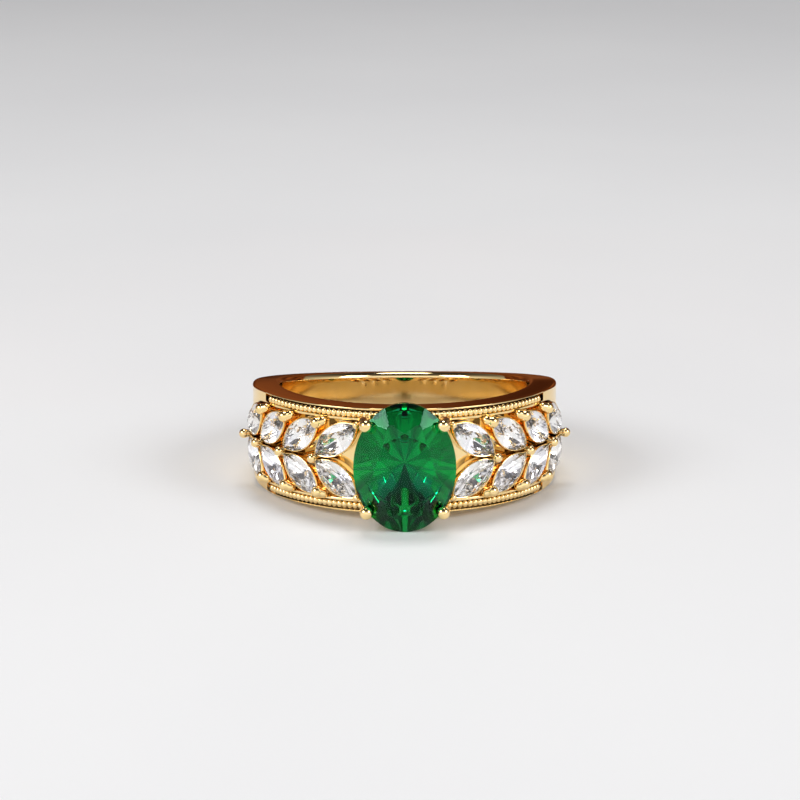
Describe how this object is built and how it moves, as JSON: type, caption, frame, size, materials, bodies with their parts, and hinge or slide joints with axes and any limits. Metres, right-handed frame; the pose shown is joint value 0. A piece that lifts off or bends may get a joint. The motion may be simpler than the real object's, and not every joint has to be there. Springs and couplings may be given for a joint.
{
  "type": "cocktail ring",
  "caption": "Wide tapering dress ring with an oval green stone in a claw head, leaf-like chevrons of clear marquise stones between beaded rails, and a plain back.",
  "frame": {"origin": "centre of the finger bore, half way up the band", "axes": "+Z along the bore, the way the finger passes through; the oval stone faces -Y; +X to the right as seen from the stone's side"},
  "size_m": [0.0238, 0.0248, 0.009],
  "materials": {
    "gold_plate": "mirror-polished gold plate",
    "green_stone": "polished facets",
    "clear_stone": "polished facets"
  },
  "bodies": {
    "root": {"band": "gold_plate", "head_base_ring": "gold_plate", "head_gallery_rail": "gold_plate", "upper_milgrain": "gold_plate", "lower_milgrain": "gold_plate", "claw_upper_left": "gold_plate", "claw_upper_right": "gold_plate", "claw_lower_left": "gold_plate", "claw_lower_right": "gold_plate", "rail_claws_upper_left": "gold_plate", "rail_claws_upper_right": "gold_plate", "rail_claws_lower_left": "gold_plate", "rail_claws_lower_right": "gold_plate", "vertex_claws_left": "gold_plate", "vertex_claws_right": "gold_plate", "seat_upper_left_1": "gold_plate", "seat_upper_left_2": "gold_plate", "seat_upper_left_3": "gold_plate", "seat_upper_left_4": "gold_plate", "seat_upper_right_1": "gold_plate", "seat_upper_right_2": "gold_plate", "seat_upper_right_3": "gold_plate", "seat_upper_right_4": "gold_plate", "seat_lower_left_1": "gold_plate", "seat_lower_left_2": "gold_plate", "seat_lower_left_3": "gold_plate", "seat_lower_left_4": "gold_plate", "seat_lower_right_1": "gold_plate", "seat_lower_right_2": "gold_plate", "seat_lower_right_3": "gold_plate", "seat_lower_right_4": "gold_plate", "centre_stone": "green_stone", "marquise_upper_left_1": "clear_stone", "marquise_upper_left_2": "clear_stone", "marquise_upper_left_3": "clear_stone", "marquise_upper_left_4": "clear_stone", "marquise_upper_right_1": "clear_stone", "marquise_upper_right_2": "clear_stone", "marquise_upper_right_3": "clear_stone", "marquise_upper_right_4": "clear_stone", "marquise_lower_left_1": "clear_stone", "marquise_lower_left_2": "clear_stone", "marquise_lower_left_3": "clear_stone", "marquise_lower_left_4": "clear_stone", "marquise_lower_right_1": "clear_stone", "marquise_lower_right_2": "clear_stone", "marquise_lower_right_3": "clear_stone", "marquise_lower_right_4": "clear_stone"}
  },
  "joints": []
}
